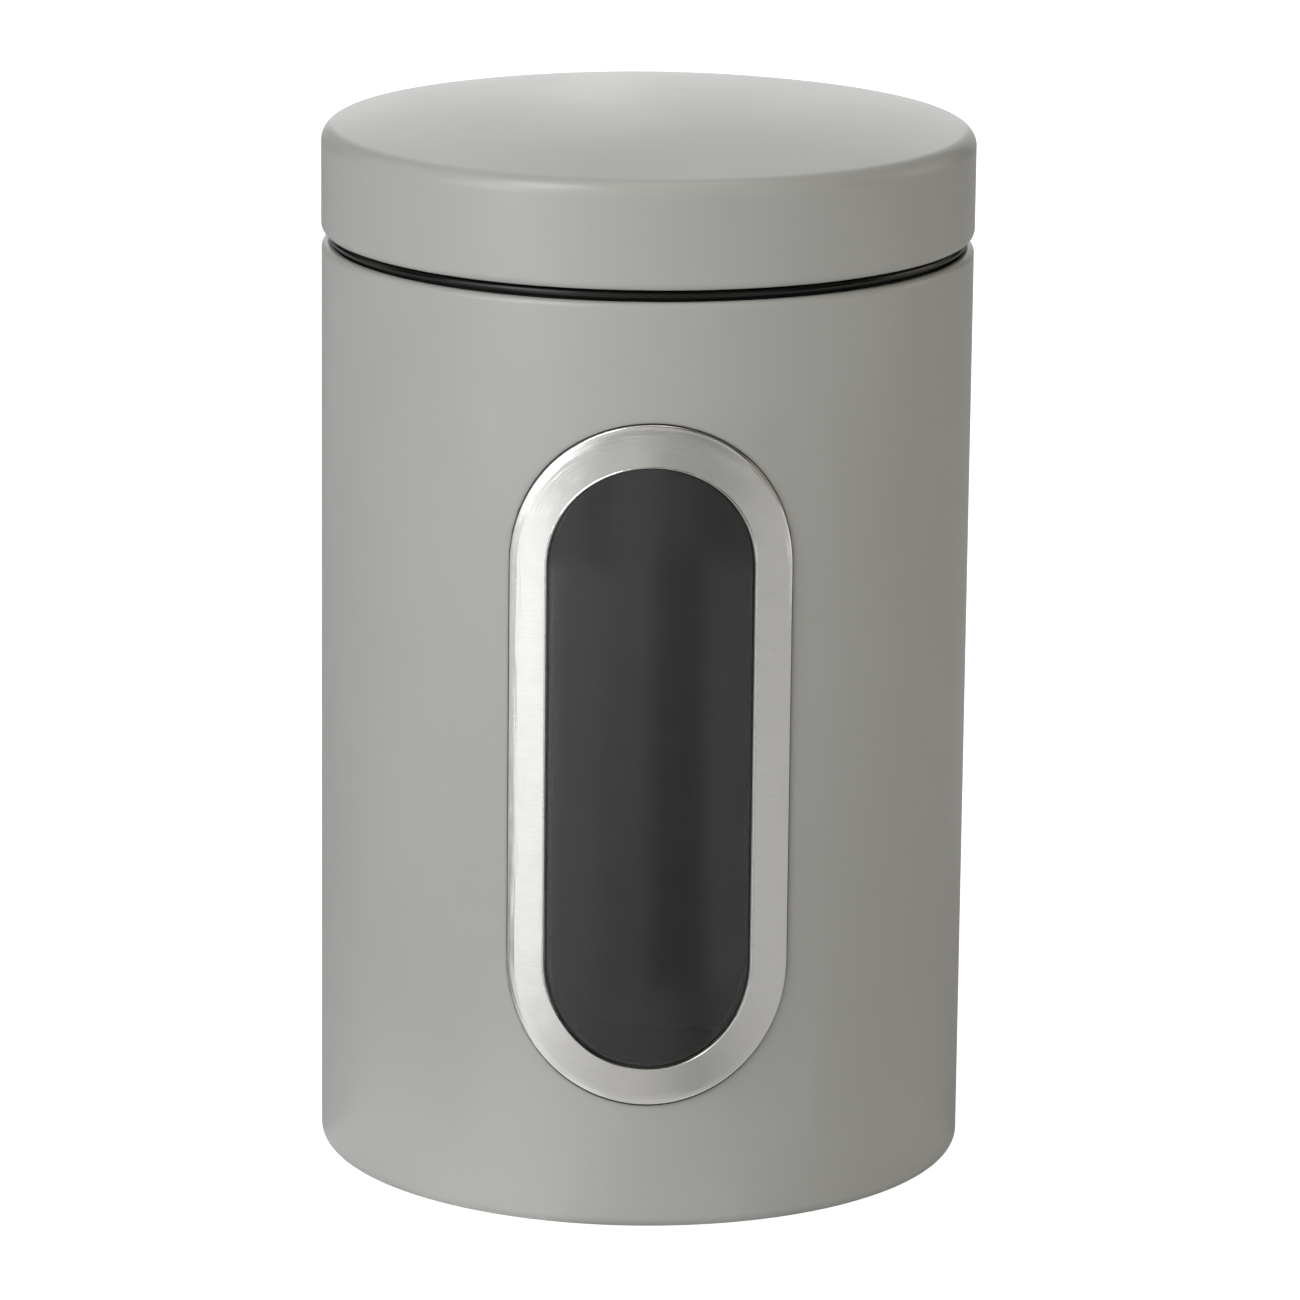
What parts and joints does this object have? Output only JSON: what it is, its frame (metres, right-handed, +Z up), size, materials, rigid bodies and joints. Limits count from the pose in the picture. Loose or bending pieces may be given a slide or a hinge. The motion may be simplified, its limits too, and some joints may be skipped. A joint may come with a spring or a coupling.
{
  "type": "food storage canister",
  "caption": "Round steel food canister with a tall oval window in a stainless frame and a domed lid with a sealed plug that lifts off.",
  "frame": {"origin": "centre of the base ring, on the plane that the canister stands on", "axes": "+Z up along the canister's axis, -Y through the middle of the window, +X to the right seen from the window side"},
  "size_m": [0.1228, 0.1236, 0.2029],
  "materials": {
    "powder_coat": "satin powder coat with a fine texture",
    "lacquered_steel": "clear lacquered sheet steel",
    "black_plastic": "glossy moulding",
    "black_silicone": "matte silicone",
    "brushed_stainless": "brushed across, with a rolled edge",
    "clear_acrylic": "clear and polished"
  },
  "bodies": {
    "container": {"body_shell": "powder_coat", "base_pan": "lacquered_steel", "window_bezel": "brushed_stainless", "window_gasket": "black_silicone", "window_pane": "clear_acrylic", "window_retainer": "lacquered_steel"},
    "lid": {"lid_shell": "powder_coat", "lid_insert": "black_plastic", "lid_seal": "black_silicone"}
  },
  "joints": [
    {"name": "lid_lift", "type": "slide", "parent": "container", "child": "lid", "axis": [0, 0, 1], "range_m": [0, 0.06]}
  ]
}
